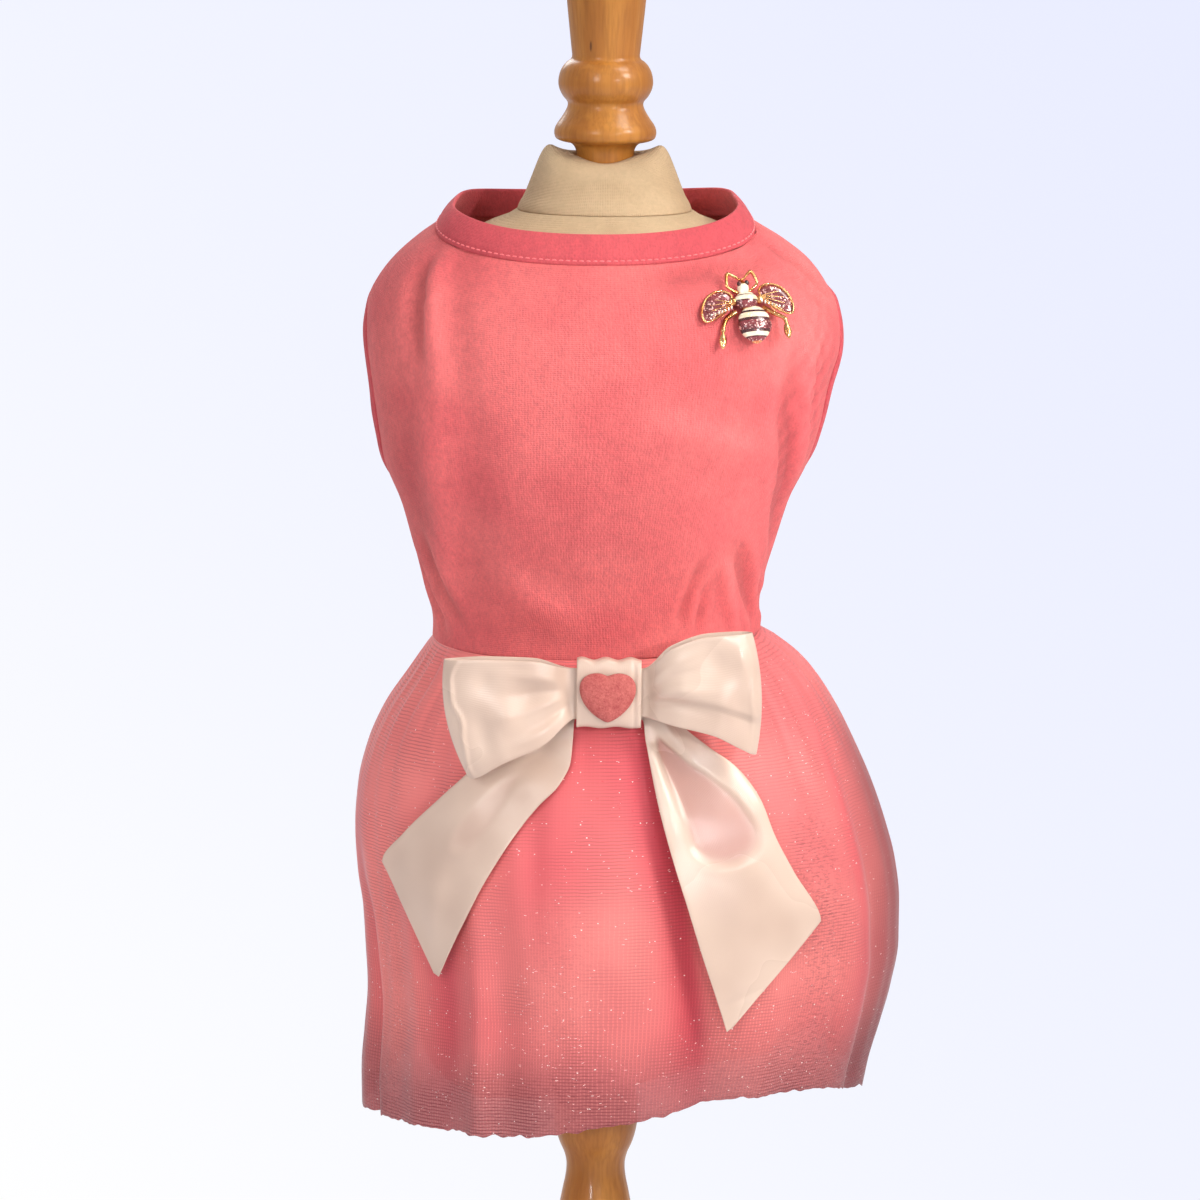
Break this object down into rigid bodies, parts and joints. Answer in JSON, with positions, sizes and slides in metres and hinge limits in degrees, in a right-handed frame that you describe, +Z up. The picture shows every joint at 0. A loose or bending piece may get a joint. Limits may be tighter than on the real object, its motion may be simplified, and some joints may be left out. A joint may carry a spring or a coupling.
{
  "type": "dog dress on a limbless tabletop dress form",
  "caption": "Sleeveless pink dog dress with a glitter net skirt, a cream satin bow, a heart and a bee brooch, worn by a small cloth dress form on a turned wooden stand.",
  "frame": {"origin": "middle of the flat underside of the stand's base", "axes": "+Z up along the stand, -Y the front of the dress with the bow, +X to the right seen from the front"},
  "size_m": [0.19, 0.1665, 0.578],
  "materials": {
    "jersey": "matt cotton jersey, coral pink",
    "net": "glitter net, square mesh, semi-transparent",
    "lining": "matt woven lining",
    "satin": "glossy satin ribbon",
    "flock": "flocked",
    "gold": "polished gold plate",
    "enamel": "glitter enamel",
    "form_cloth": "matt beige cloth",
    "wood": "glossy honey varnish"
  },
  "bodies": {
    "root": {"bodice_back": "jersey", "bodice_belly": "jersey", "neckband": "jersey", "armhole_binding_left": "jersey", "armhole_binding_right": "jersey", "skirt_net": "net", "skirt_lining": "lining", "bow_loop_left": "satin", "bow_loop_right": "satin", "bow_tail_left": "satin", "bow_tail_right": "satin", "bow_band": "satin", "heart": "flock", "bee_body": "gold", "bee_wing_left": "enamel", "bee_wing_right": "enamel", "bee_leg_left": "gold", "bee_leg_right": "gold", "form_torso": "form_cloth", "form_neck": "form_cloth", "finial": "wood", "post": "wood", "base": "wood"}
  },
  "joints": []
}
